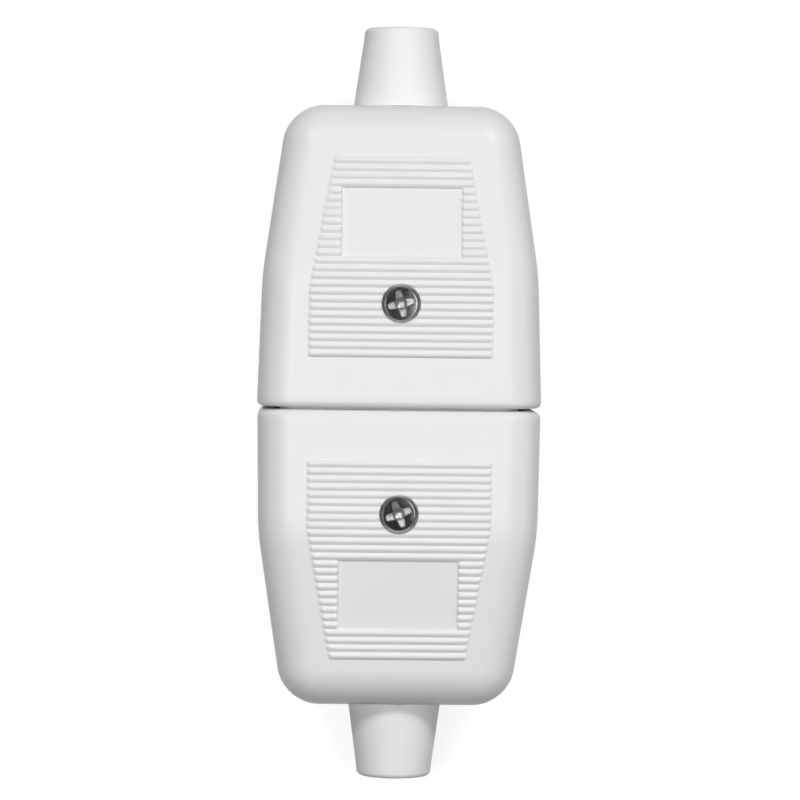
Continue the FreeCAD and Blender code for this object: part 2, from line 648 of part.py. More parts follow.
def socket_inner():
    """The mains half's block and contacts."""
    return {"contact_block": contact_block(), "live_contact": pole_contact(-POLE_X),
            "neutral_contact": pole_contact(POLE_X), "earth_contact": earth_contact()}


def main():
    """Builds both halves and writes one file for each piece."""
    os.makedirs("parts", exist_ok=True)
    for half, inner in ((PLUG, plug_inner), (SOCKET, socket_inner)):
        pieces = half_pieces(half)
        pieces.update(inner())
        for name, shape in pieces.items():
            shape = place(half, shape.removeSplitter())
            solids = shape.Solids
            if len(solids) != 1 or not shape.isValid():
                print("check", half.name, name, len(solids), shape.isValid())
            solids[0].exportStep(f"parts/{half.name}_{name}.step")
            print(f"{half.name}_{name}: {solids[0].Volume:.1f} mm3, {len(shape.Faces)} faces")


main()
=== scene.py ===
"""Dresses the two-half inline mains connector: moulded shells, cord guards, screws, brass and the studio.

Lengths are millimetres while a shape is worked out and metres once it is a mesh. A shape that belongs to one
half is worked out in that half's own frame, with the seam at y = 0, +Y towards its cord and z = 0 on the
parting plane, and is then turned and moved to its place.
"""

import logging
import math
from dataclasses import dataclass, field, replace
from enum import Enum
from typing import Any, Iterator, Sequence

import bmesh
import bpy
import numpy as np
from mathutils import Matrix, Vector


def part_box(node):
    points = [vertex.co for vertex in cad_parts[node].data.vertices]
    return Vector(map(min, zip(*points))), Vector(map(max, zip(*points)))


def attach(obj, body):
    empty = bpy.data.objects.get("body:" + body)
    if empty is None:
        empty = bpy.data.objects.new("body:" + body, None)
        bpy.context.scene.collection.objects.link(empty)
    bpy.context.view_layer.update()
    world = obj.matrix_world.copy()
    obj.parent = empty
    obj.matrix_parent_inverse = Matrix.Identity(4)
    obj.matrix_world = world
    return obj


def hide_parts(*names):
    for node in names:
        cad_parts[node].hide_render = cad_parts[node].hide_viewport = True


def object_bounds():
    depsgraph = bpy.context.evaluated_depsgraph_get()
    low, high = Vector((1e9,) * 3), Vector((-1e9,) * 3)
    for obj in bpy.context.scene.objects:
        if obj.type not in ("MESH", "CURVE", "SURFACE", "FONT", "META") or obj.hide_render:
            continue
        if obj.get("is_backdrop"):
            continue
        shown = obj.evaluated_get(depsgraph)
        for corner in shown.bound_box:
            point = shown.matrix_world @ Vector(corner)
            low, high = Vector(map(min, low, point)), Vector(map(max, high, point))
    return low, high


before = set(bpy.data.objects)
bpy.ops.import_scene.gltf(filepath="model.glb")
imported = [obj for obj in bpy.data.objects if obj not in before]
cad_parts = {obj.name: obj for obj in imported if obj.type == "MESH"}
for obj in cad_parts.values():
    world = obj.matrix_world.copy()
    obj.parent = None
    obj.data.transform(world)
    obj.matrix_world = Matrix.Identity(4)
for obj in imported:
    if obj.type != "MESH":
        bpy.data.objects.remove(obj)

Array = np.ndarray
MM = 0.001
LOG = logging.getLogger("connector")

# Points nearer than this are one point, and edges shorter than the next are taken out.
MERGE, SLIVER = 0.002, 0.0005
# How far a boss or post runs into the wall that carries it.
ROOT = 0.05
# Radius of a turned form's closing ring at its axis.
AXIS_R = 0.0001
# Edges that turn by more degrees than this stay sharp.
SHARP_ANGLE = 35.0


class HalfName(Enum):
    """The two halves; the value starts the names of a half's nodes."""

    PLUG = "plug"
    SOCKET = "socket"

    @property
    def body(self) -> str:
        """The body that the half's pieces ride on."""
        return f"{self.value}_half"

    @property
    def turn(self) -> Array:
        """Signs that take the half's own x, y and z to the connector's."""
        return np.array([1.0, 1.0, 1.0] if self is HalfName.PLUG else [-1.0, -1.0, 1.0])


def linear(hex_colour: str) -> tuple[float, float, float, float]:
    """Turns an sRGB hex colour into linear light.

    Args:
        hex_colour: Six hex digits after a hash sign.

    Returns:
        Red, green, blue and an alpha of 1.
    """
    channels = [int(hex_colour[i:i + 2], 16) / 255 for i in (1, 3, 5)]
    light = [c / 12.92 if c <= 0.04045 else ((c + 0.055) / 1.055) ** 2.4 for c in channels]
    return (light[0], light[1], light[2], 1.0)


def placed(name: str, data: bpy.types.ID) -> bpy.types.Object:
    """Puts a mesh, lamp or camera into the scene as an object at the origin."""
    made = bpy.data.objects.new(name, data)
    bpy.context.scene.collection.objects.link(made)
    return made


def empty_tree(owner: bpy.types.Material | bpy.types.World) -> bpy.types.NodeTree:
    """The owner's node tree, cleared."""
    owner.use_nodes = True
    owner.node_tree.nodes.clear()
    return owner.node_tree


def smooth_step(t: Array) -> Array:
    """Eases from 0 to 1 with level ends: 3t^2 - 2t^3, held at 0 and 1 outside."""
    t = np.clip(t, 0.0, 1.0)
    return t * t * (3.0 - 2.0 * t)


def grid_faces(rows: int, columns: int, close_rows: bool = False, close_columns: bool = False) -> Array:
    """Quads of a grid of points numbered row by row.

    Args:
        rows: Number of rows.
        columns: Number of points in a row.
        close_rows: Joins the last row to the first.
        close_columns: Joins the last column to the first.

    Returns:
        One line of four point numbers for each quad.
    """
    r = np.arange(rows if close_rows else rows - 1)
    c = np.arange(columns if close_columns else columns - 1)
    r, c = np.meshgrid(r, c, indexing="ij")
    r1, c1 = (r + 1) % rows, (c + 1) % columns
    quads = np.stack([r * columns + c, r * columns + c1, r1 * columns + c1, r1 * columns + c], axis=-1)
    return quads.reshape(-1, 4)


@dataclass
class Sheet:
    """Points and faces of one closed part of a piece, in millimetres."""

    points: Array
    quads: Array
    caps: list[list[int]] = field(default_factory=list)

    def moved(self, by: Sequence[float]) -> "Sheet":
        """The same sheet, moved."""
        return Sheet(self.points + np.array(by), self.quads, self.caps)


def lathe(profile: Sequence[tuple[float, float]], axis: str = "z", steps: int = 96,
          centre: tuple[float, float, float] = (0.0, 0.0, 0.0)) -> Sheet:
    """Turns a closed profile round an axis: (r cos u, r sin u, h) for each profile point (r, h) and angle u.

    Args:
        profile: Radius and height of each point, in order round the profile.
        axis: "z" for an upright axis, "y" for one along the length.
        steps: Number of angles.
        centre: Where the axis and the height start from.

    Returns:
        The closed surface of revolution.
    """
    r, h = np.array(profile, float).T
    u = np.linspace(0.0, 2 * np.pi, steps, endpoint=False)
    a, b = np.outer(r, np.cos(u)), np.outer(r, np.sin(u))
    along = np.repeat(h[:, None], steps, axis=1)
    parts = (a, b, along) if axis == "z" else (a, along, b)
    points = np.stack(parts, axis=-1).reshape(-1, 3) + np.array(centre)
    return Sheet(points, grid_faces(len(r), steps, close_rows=True, close_columns=True))


def slab(low: Sequence[float], high: Sequence[float]) -> Sheet:
    """Box between two corners, from the eight sums of their coordinates."""
    lo, hi = np.array(low, float), np.array(high, float)
    picks = np.array([[i & 1, i >> 1 & 1, i >> 2 & 1] for i in range(8)])
    quads = [[0, 2, 3, 1], [4, 5, 7, 6], [0, 1, 5, 4], [2, 6, 7, 3], [0, 4, 6, 2], [1, 3, 7, 5]]
    return Sheet(lo + picks * (hi - lo), np.array(quads))


def arc(centre: tuple[float, float], radius: float, start: float, end: float,
        steps: int) -> list[tuple[float, float]]:
    """Points (c + r cos u, c + r sin u) of an arc, with the angles in degrees."""
    angles = np.radians(np.linspace(start, end, steps))
    return [(centre[0] + radius * math.cos(u), centre[1] + radius * math.sin(u)) for u in angles]


class Workshop:
    """Turns the sheets of one half into finished Blender pieces in the connector's frame."""

    def __init__(self, half: HalfName) -> None:
        """Finds the seam between the two front shells and the parting plane that they end on.

        Args:
            half: The half that this workshop makes.
        """
        plug_low, socket_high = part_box("plug_cover")[0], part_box("socket_cover")[1]
        self.half = half
        self.seam_gap = (plug_low.y - socket_high.y) / MM
        self.seam = np.array([0.0, (plug_low.y + socket_high.y) / 2, plug_low.z]) / MM

    def measure(self, part: str) -> tuple[Vector, Vector]:
        """Reads the box of one of the half's nodes.

        Args:
            part: The node's name without the half's.

        Returns:
            Low and high corner in millimetres, in the half's own frame.
        """
        corners = np.array([list(corner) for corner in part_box(f"{self.half.value}_{part}")]) / MM
        own = (corners - self.seam) * self.half.turn
        return Vector(own.min(axis=0)), Vector(own.max(axis=0))

    def piece(self, name: str, sheets: Sequence[Sheet]) -> bpy.types.Object:
        """Joins sheets into one mesh object that rides on the half, turned and moved to its place.

        Args:
            name: The piece's name without the half's.
            sheets: Its closed parts.

        Returns:
            The new object, at the origin, with its faces pointing outwards.
        """
        mesh = bpy.data.meshes.new(f"{self.half.value}_{name}")
        offset, points, faces = 0, [], []
        for sheet in sheets:
            points.append((sheet.points * self.half.turn + self.seam) * MM)
            faces += (sheet.quads + offset).tolist()
            faces += [[i + offset for i in cap] for cap in sheet.caps]
            offset += len(sheet.points)
        mesh.from_pydata(np.concatenate(points).tolist(), [], faces)
        self.tidy(mesh)
        made = placed(mesh.name, mesh)
        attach(made, self.half.body)
        return made

    def stand_in(self, made: bpy.types.Object, part: str, slot: str) -> None:
        """Hides the half's node that a piece stands in for."""
        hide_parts(f"{self.half.value}_{part}")

    @staticmethod
    def tidy(mesh: bpy.types.Mesh) -> None:
        """Merges doubles, points the faces outwards and shades smoothly up to an angle."""
        work = bmesh.new()
        work.from_mesh(mesh)
        bmesh.ops.remove_doubles(work, verts=work.verts, dist=MERGE * MM)
        bmesh.ops.dissolve_degenerate(work, edges=work.edges, dist=SLIVER * MM)
        bmesh.ops.recalc_face_normals(work, faces=work.faces)
        work.to_mesh(mesh)
        work.free()
        mesh.shade_smooth()
        mesh.set_sharp_from_angle(angle=math.radians(SHARP_ANGLE))

    @staticmethod
    def carve(target: bpy.types.Object, cutter: bpy.types.Object) -> None:
        """Takes the cutter's volume out of the target and removes the cutter."""
        cut = target.modifiers.new("cut", "BOOLEAN")
        cut.operation, cut.solver = "DIFFERENCE", "EXACT"
        cut.object, cut.material_mode = cutter, "TRANSFER"
        graph = bpy.context.evaluated_depsgraph_get()
        result = bpy.data.meshes.new_from_object(target.evaluated_get(graph))
        target.modifiers.clear()
        target.data = result
        result.name = target.name
        bpy.data.objects.remove(cutter)
        result.shade_smooth()
        result.set_sharp_from_angle(angle=math.radians(SHARP_ANGLE))

    @staticmethod
    def join(target: bpy.types.Object, extra: bpy.types.Object) -> None:
        """Moves one object's mesh into another's."""
        work = bmesh.new()
        work.from_mesh(target.data)
        work.from_mesh(extra.data)
        work.to_mesh(target.data)
        work.free()
        bpy.data.objects.remove(extra)


@dataclass(frozen=True)
class HousingSizes:
    """The moulded housing of one half, both shells together.

    The outer extents come from the frame. The rest is what a box can't tell: bends, slopes and roundings.
    """

    rim_half_width: float
    rim_y: float
    end_y: float
    half_thickness: float
    crease_y: float
    crease_drop: float
    end_drop: float
    rim_round: float
    end_fall: float = 3.1
    crease_blend: float = 2.4
    edge_round: float = 5.0
    end_round: float = 5.0
    wall: float = 2.4
    lip_height: float = 1.2
    guard_hole: float = 5.3

    @classmethod
    def measured(cls, shop: Workshop, *bends: float) -> "HousingSizes":
        """Takes the extents from the shells' boxes.

        Args:
            shop: The half's workshop.
            *bends: Place of the crease, the side's fall to it and on to the end, and the rim's rounding.

        Returns:
            The housing's sizes.
        """
        high, low = shop.measure("cover")[1], shop.measure("base")[0]
        return cls(high.x, shop.seam_gap / 2, high.y, -low.z, *bends)

    def bent_line(self, y: Array, at_rim: float, at_crease: float, at_end: float) -> Array:
        """Two straight lines that meet at the crease, blended by a parabola.

        Args:
            y: Distances from the seam.
            at_rim: Value at the seam.
            at_crease: Value at the crease.
            at_end: Value at the end face.

        Returns:
            The blended value at each distance.
        """
        first = (at_crease - at_rim) / (self.crease_y - self.rim_y)
        second = (at_end - at_crease) / (self.end_y - self.crease_y)
        from_crease = y - self.crease_y
        inside = np.clip(from_crease + self.crease_blend, 0.0, 2 * self.crease_blend)
        bend = (second - first) * inside ** 2 / (4 * self.crease_blend)
        beyond = (second - first) * np.maximum(from_crease - self.crease_blend, 0.0)
        return at_crease + first * from_crease + bend + beyond

    def half_width(self, y: Array) -> Array:
        """Half width in plan at each distance from the seam."""
        crease = self.rim_half_width - self.crease_drop
        return self.bent_line(y, self.rim_half_width, crease, crease - self.end_drop)

    def half_height(self, y: Array) -> Array:
        """Height of the front face over the parting plane at each distance from the seam."""
        top = self.half_thickness
        return self.bent_line(y, top, top, top - self.end_fall)


@dataclass(frozen=True)
class GripSizes:
    """Ribs and the sunk bare panel of the grip.

    Ribs are counted from the joint, and the panel takes the middle of panel_ribs ribs from panel_first on.
    """

    count: int = 26
    pitch: float = 1.065
    first_y: float = 7.59
    height: float = 0.34
    valley: float = 0.22
    sharpness: float = 0.62
    end_steepness: float = 0.6
    wide: float = 12.55
    narrow: float = 9.25
    slant_y: float = 16.6
    end_ease: float = 0.6
    panel_first: int = 13
    panel_ribs: int = 9
    panel_half_width: float = 8.3
    panel_sink: float = 0.12
    panel_ease: float = 0.34

    @property
    def start_y(self) -> float:
        """Where the first rib starts."""
        return self.first_y - self.pitch / 2

    @property
    def finish_y(self) -> float:
        """Where the last rib ends."""
        return self.start_y + self.count * self.pitch

    def half_width(self, y: Array) -> Array:
        """Half width of the ribbed field, straight near the joint and slanting in beyond."""
        share = np.clip((y - self.slant_y) / (self.finish_y - self.slant_y), 0.0, None)
        return self.wide + (self.narrow - self.wide) * share

    def relief(self, x: Array, y: Array) -> Array:
        """Height of the grip over the plain face.

        A rib is a raised cosine, (0.5 + 0.5 cos 2 pi t)^sharpness, where t counts ribs from the first crest.
        The valleys between ribs stay a little above the plain face, and only the field's two ends fall to it.
        The field eases to nothing at its slanting sides and in the panel, whose floor is a little sunk.

        Args:
            x: Places across the face.
            y: Places along it.

        Returns:
            The height to add at each place.
        """
        t = (y - self.first_y) / self.pitch
        wave = (0.5 + 0.5 * np.cos(2 * np.pi * t)) ** self.sharpness
        between = (t > 0.0) & (t < self.count - 1)
        wave = np.where(between, self.valley + (1.0 - self.valley) * wave, wave ** self.end_steepness)
        wave = np.where((t > -0.5) & (t < self.count - 0.5), wave, 0.0)
        side = smooth_step((self.half_width(y) - np.abs(x)) / self.end_ease + 0.5)
        in_panel = (t > self.panel_first - 0.5) & (t < self.panel_first + self.panel_ribs - 0.5)
        panel = smooth_step((self.panel_half_width - np.abs(x)) / self.panel_ease + 0.5) * in_panel
        return self.height * wave * side * (1.0 - panel) - self.panel_sink * panel


@dataclass
class Housing:
    """Front and back shell of one half.

    A shell is one sheet. Each row of it is half a rounded rectangle, and the rows run out along the outside
    from the rim to the end face, in through the cord guard's hole and back along the inside to the rim.
    """

    shop: Workshop
    sizes: HousingSizes
    grip: GripSizes
    boss_r: float = 3.6
    boss_neck_r: float = 2.6
    screw_hole_r: float = 1.6
    head_clearance: float = 0.4
    head_height: float = 1.9
    nut_clearance: float = 0.04
    collar: float = 1.0
    boss_gap: float = 0.05
    part_round: float = 0.15
    part_step: float = 0.3
    field_margin: float = 0.02
    edge_gap: float = 0.6
    panel_gap: float = 1.0
    ease_reach: float = 0.6
    least_corner: float = 0.05
    flat_margin: float = 0.01
    drill_reach: tuple[float, float] = (8.0, 20.0)
    rib_steps: int = 12
    rim_steps: int = 7
    crease_steps: int = 9
    corner_steps: int = 13
    shoulder_steps: int = 17
    side_steps: int = 5
    boss_steps: int = 72

    def __post_init__(self) -> None:
        """Reads where the cover screw and its nut sit."""
        screw_high = self.shop.measure("cover_screw")[1]
        self.nut_low, self.nut_high = self.shop.measure("cover_nut")
        self.boss_y = (self.nut_low.y + self.nut_high.y) / 2
        self.head_seat = screw_high.z - self.head_height
        self.counterbore_r = screw_high.x + self.head_clearance

    def rows(self, fine: bool) -> tuple[Array, Array, Array]:
        """Distances from the seam, insets and mark of each row of a shell.

        The rim is a quarter circle of the rim's radius and the end one of the end's radius, so a row at
        angle u round the end lies at end - R + R sin u and is drawn in by R (1 - cos u). Mark 0 is the
        outside, 1 a row on the circle of the guard's hole, and 2 the inside.

        Args:
            fine: Whether the rows follow the ribs.

        Returns:
            The three arrays.
        """
        s, g = self.sizes, self.grip
        rim_y, turn = s.rim_y, np.linspace(0.0, np.pi / 2, self.rim_steps)
        rim = [(rim_y + s.rim_round * (1 - math.cos(u)), s.rim_round * (1 - math.sin(u))) for u in turn]
        end_start = s.end_y - s.end_round
        # A bare count below is how many rows a straight stretch gets.
        blend = s.crease_y + np.linspace(-s.crease_blend, s.crease_blend, self.crease_steps)
        if fine:
            ribs = np.linspace(g.start_y, g.finish_y, g.count * self.rib_steps + 1)
            edge = [g.start_y - self.field_margin, g.finish_y + self.field_margin]
            y_values = np.concatenate([np.linspace(rim_y + s.rim_round, edge[0], 8)[1:], ribs, edge[1:],
                                       np.linspace(edge[1], end_start, 5)[1:]])
        else:
            y_values = np.concatenate([np.linspace(rim_y + s.rim_round, blend[0], 6)[1:-1], blend,
                                       np.linspace(blend[-1], end_start, 8)[1:]])
        shoulder = [(end_start + s.end_round * math.sin(u), s.end_round * (1 - math.cos(u)))
                    for u in np.linspace(0.0, np.pi / 2, self.shoulder_steps)[1:]]
        outside = rim + [(y, 0.0) for y in y_values] + shoulder
        hole = [(s.end_y, 0.0), (s.end_y - s.wall, 0.0)]
        inner_y = np.concatenate([np.linspace(s.end_y - s.wall, blend[-1], 4), blend[::-1][1:],
                                  np.linspace(blend[0], rim_y, 4)[1:]])
        inside = [(y, s.wall) for y in inner_y]
        parts = ((0, outside), (1, hole), (2, inside))
        y, inset, mark = np.array([(y, i, number) for number, part in parts for y, i in part], float).T
        return y, inset, mark

    def columns(self, y: Array, inset: Array, stepped: bool) -> tuple[Array, Array]:
        """Places across each row, from the right parting edge over the face to the left one.

        The flat of the face is divided at the panel's edge and at the ribs' slanting end, the corner is a
        quarter circle, and the side runs down to the parting plane.

        Args:
            y: Distance of each row.
            inset: How far each row is drawn in.
            stepped: Whether the outer edge at the parting plane has the back shell's step.

        Returns:
            x and height over the parting plane for each row and column.
        """
        s, g = self.sizes, self.grip
        width = (s.half_width(y) - inset)[:, None]
        height = (s.half_height(y) - inset)[:, None]
        corner = np.maximum(s.edge_round - inset, self.least_corner)[:, None]
        flat = width - corner
        field_edge = np.minimum(g.half_width(y)[:, None], flat - self.edge_gap)
        panel = np.minimum(g.panel_half_width, field_edge - self.panel_gap)
        ease, panel_ease = g.end_ease * self.ease_reach, g.panel_ease * self.ease_reach
        beside = field_edge - panel - ease - panel_ease
        # From the middle: the panel, its edge, the ribs beside it, their slanting end and the plain rest.
        # Each line gives the shares of its stretch and the number of columns there.
        pieces = [
            np.linspace(0.0, 1.0, 13)[None, :] * (panel - panel_ease),
            panel + np.linspace(-0.5, 1.0, 4)[None, :] * panel_ease,
            panel + panel_ease + np.linspace(0.2, 0.8, 4)[None, :] * beside,
            field_edge + np.linspace(-1.0, 1.0, 7)[None, :] * ease,
            field_edge + ease + np.linspace(0.2, 1.0, 5)[None, :] * (flat - field_edge - ease),
        ]
        top_x = np.concatenate(pieces, axis=1)
        top_z = np.repeat(height, top_x.shape[1], axis=1)
        turn = np.linspace(0.0, np.pi / 2, self.corner_steps)[None, 1:]
        arc_x, arc_z = flat + corner * np.sin(turn), height - corner * (1 - np.cos(turn))
        outer = 1.0 * (inset < s.wall)[:, None]
        edge, step = self.part_round * outer, self.part_step * outer
        lift = np.full_like(edge, self.part_step if stepped else 0.0)
        share = np.arange(1, self.side_steps + 1)[None, :] / self.side_steps
        run = share * (height - corner - lift - edge)
        side_x, side_z = np.repeat(width, self.side_steps, axis=1), height - corner - run
        foot_turn = np.linspace(0.0, np.pi / 2, 4)[None, 1:]
        foot_x, foot_z = width - edge * (1 - np.cos(foot_turn)), lift + edge * (1 - np.sin(foot_turn))
        parts_x, parts_z = [top_x, arc_x, side_x, foot_x], [top_z, arc_z, side_z, foot_z]
        if stepped:
            parts_x += [width - step, width - step]
            parts_z += [lift, 0.0 * lift]
        right_x, right_z = np.concatenate(parts_x, axis=1), np.concatenate(parts_z, axis=1)
        x = np.concatenate([right_x[:, ::-1], -right_x[:, 1:]], axis=1)
        z = np.concatenate([right_z[:, ::-1], right_z[:, 1:]], axis=1)
        return x, z

    def shell_sheet(self, front: bool) -> Sheet:
        """One shell's closed sheet.

        Args:
            front: The front shell, with the grip, or the back one, turned over and plain.

        Returns:
            The sheet, closed along the parting plane by one face on each side.
        """
        y, inset, mark = self.rows(front)
        x, z = self.columns(y, inset, stepped=not front)
        along = np.repeat(y[:, None], x.shape[1], axis=1)
        if front:
            outside = (mark == 0)[:, None] & (inset == 0)[:, None]
            level = z > self.sizes.half_height(y)[:, None] - self.flat_margin
            z = z + np.where(outside & level, self.grip.relief(x, along), 0.0)
        on_hole = mark == 1
        angle = np.arctan2(z, x)
        x = np.where(on_hole[:, None], self.sizes.guard_hole * np.cos(angle), x)
        z = np.where(on_hole[:, None], self.sizes.guard_hole * np.sin(angle), z)
        points = np.stack([x, along, z if front else -z], axis=-1)
        rows, columns = x.shape
        quads = grid_faces(rows, columns, close_rows=True)
        first = [r * columns for r in range(rows)]
        last = [r * columns + columns - 1 for r in range(rows)]
        return Sheet(points.reshape(-1, 3), quads, [first, last[::-1]])

    def cover_boss(self) -> Sheet:
        """Boss that holds the screw's head, open all the way down for its shank."""
        top = self.sizes.half_thickness - self.sizes.wall + ROOT
        profile = [(self.counterbore_r, top), (self.boss_r, top), (self.boss_r, self.head_seat - self.collar),
                   (self.boss_neck_r, self.head_seat - self.collar), (self.boss_neck_r, self.boss_gap),
                   (self.screw_hole_r, self.boss_gap), (self.screw_hole_r, self.head_seat),
                   (self.counterbore_r, self.head_seat)]
        return lathe(profile, steps=self.boss_steps, centre=(0.0, self.boss_y, 0.0))

    def nut_boss(self) -> Sheet:
        """Boss of the back shell, with a pocket for the nut and a pilot below it."""
        low = -self.sizes.half_thickness + self.sizes.wall - ROOT
        top, pocket = self.nut_high.z, self.nut_high.x + self.nut_clearance
        profile = [(self.boss_r, low), (self.boss_r, top), (pocket, top), (pocket, self.nut_low.z),
                   (self.screw_hole_r, self.nut_low.z), (self.screw_hole_r, low)]
        return lathe(profile, steps=self.boss_steps, centre=(0.0, self.boss_y, 0.0))

    def cover(self) -> bpy.types.Object:
        """Front shell with ribbed grip, sunk panel and counterbore."""
        made = self.shop.piece("cover_skin", [self.shell_sheet(True)])
        low, high = self.drill_reach
        drill = [(AXIS_R, low), (self.counterbore_r, low), (self.counterbore_r, high), (AXIS_R, high)]
        form = lathe(drill, steps=self.boss_steps, centre=(0.0, self.boss_y, 0.0))
        self.shop.carve(made, self.shop.piece("cutter", [form]))
        self.shop.join(made, self.shop.piece("boss", [self.cover_boss()]))
        self.shop.stand_in(made, "cover", "housing")
        return made

    def base(self, inner: Sequence[Sheet]) -> bpy.types.Object:
        """Back shell with its nut boss and what stands on its floor.

        Args:
            inner: Cradles, post, saddle and lip.

        Returns:
            The shell.
        """
        made = self.shop.piece("base_skin", [self.shell_sheet(False), self.nut_boss(), *inner])
        self.shop.stand_in(made, "base", "housing")
        return made


def add_node(tree: bpy.types.NodeTree, kind: str, inputs: dict[Any, Any] | None = None,
             **settings: Any) -> bpy.types.Node:
    """Adds a node to a tree, sets its properties and feeds its inputs.

    Args:
        tree: The node tree.
        kind: The node's type name.
        inputs: Value or output socket for each input, by name or number.
        **settings: The node's own properties.

    Returns:
        The new node.
    """
    node = tree.nodes.new(kind)
    for key, value in settings.items():
        setattr(node, key, value)
    for key, value in (inputs or {}).items():
        if isinstance(value, bpy.types.NodeSocket):
            tree.links.new(value, node.inputs[key])
        else:
            node.inputs[key].default_value = value
    return node


@dataclass(frozen=True)
class Finish:
    """A surface finish: its colours, gloss and fine texture, with pattern sizes in millimetres.

    The two colours change over mottle_mm. The grain, drawn out by brush, bumps the surface and spreads the
    roughness a little either way.
    """

    name: str
    colour: str
    mottle_colour: str
    roughness: float
    metallic: float = 0.0
    ior: float = 1.5
    mottle_mm: float = 9.0
    grain_mm: float = 0.35
    grain_height_mm: float = 0.004
    brush: tuple[float, float, float] = (1.0, 1.0, 1.0)
    roughness_spread: float = 0.03

    def material(self) -> bpy.types.Material:
        """Builds the material once and returns it."""
        made = bpy.data.materials.get(self.name)
        if made:
            return made
        made = bpy.data.materials.new(self.name)
        tree = empty_tree(made)
        place = add_node(tree, "ShaderNodeTexCoord").outputs["Object"]
        mottle = add_node(tree, "ShaderNodeTexNoise",
                          {"Vector": place, "Scale": 1 / (self.mottle_mm * MM), "Detail": 3.0})
        mixed = add_node(tree, "ShaderNodeMix", {0: mottle.outputs["Fac"], 6: linear(self.colour),
                                                 7: linear(self.mottle_colour)}, data_type="RGBA")
        streaks = add_node(tree, "ShaderNodeMapping", {"Vector": place, "Scale": self.brush})
        grain = add_node(tree, "ShaderNodeTexNoise", {"Vector": streaks.outputs["Vector"],
                                                      "Scale": 1 / (self.grain_mm * MM), "Detail": 2.0})
        bump = add_node(tree, "ShaderNodeBump", {"Height": grain.outputs["Fac"], "Strength": 1.0,
                                                 "Distance": self.grain_height_mm * MM})
        rough = add_node(tree, "ShaderNodeMapRange", {
            "Value": grain.outputs["Fac"], "To Min": self.roughness - self.roughness_spread,
            "To Max": self.roughness + self.roughness_spread})
        shader = add_node(tree, "ShaderNodeBsdfPrincipled", {
            "Base Color": mixed.outputs[2], "Roughness": rough.outputs["Result"],
            "Metallic": self.metallic, "IOR": self.ior, "Normal": bump.outputs["Normal"]})
        add_node(tree, "ShaderNodeOutputMaterial", {"Surface": shader.outputs["BSDF"]})
        return made

    def dress(self, thing: bpy.types.Object) -> None:
        """Gives the finish to every face of a piece or node."""
        if not thing.data.materials:
            thing.data.materials.append(self.material())
        for i in range(len(thing.data.materials)):
            thing.data.materials[i] = self.material()


# White thermoplastic shell, injection moulded in a finely sparked tool: satin and almost grainless, so a
# lamp shows as a soft wide gloss.
SHELL_WHITE = Finish("satin_moulded_white_shell", "#E6E6E6", "#E3E3E4", 0.38)
# Plasticised white sleeve: a shade whiter and softer in gloss than the shell.
GUARD_WHITE = Finish("soft_moulded_white_sleeve", "#ECECED", "#E9E9EB", 0.45, grain_mm=0.5)
# Pale insulating moulding: harder, a touch warmer, with a dry gloss.
INSULATOR = Finish("moulded_insulating_block", "#DEDCD6", "#D8D6CF", 0.38, grain_mm=0.6)
# Rolled and stamped brass: yellow metal with fine streaks along the strip.
STAMPED_BRASS = Finish("stamped_brass", "#D8B36A", "#CFA85C", 0.26, metallic=1.0, mottle_mm=5.0,
                       grain_mm=0.25, grain_height_mm=0.002, brush=(1.0, 0.12, 1.0))
# Zinc plated steel: a cool grey mirror, slightly clouded.
ZINC_STEEL = Finish("zinc_plated_steel", "#A9ABAE", "#9FA1A4", 0.08, metallic=1.0, mottle_mm=1.5,
                    grain_mm=0.12, grain_height_mm=0.001)
# The same plating on a head's rounded edge: rougher, so a mirrored lamp spreads into a grey ring,
# and darker in colour, painted shade that dims the lamp's glint there.
EDGE_SHADED_STEEL = replace(ZINC_STEEL, name="edge_shaded_zinc_plated_steel", colour="#909295",
                        mottle_colour="#7F8184", roughness=0.36)
# The same plating in the driver's recess, rougher; its pale colour is painted reflection, and its mottle
# makes it darker in small patches.
RECESS_STEEL_PAINTED_REFLECTION = Finish("recess_zinc_plated_steel_painted_reflection", "#DCDDDF", "#3E3F41", 0.44, metallic=1.0,
                       mottle_mm=0.45, grain_mm=0.10, grain_height_mm=0.006)
# The foot of the recess, rubbed by the punch's tip: finer grained, with a small bright spot.
BURNISHED_STEEL = Finish("burnished_zinc_plated_steel", "#C4C5C7", "#8E8F91", 0.40, metallic=1.0,
                         mottle_mm=0.7, grain_mm=0.10, grain_height_mm=0.002)


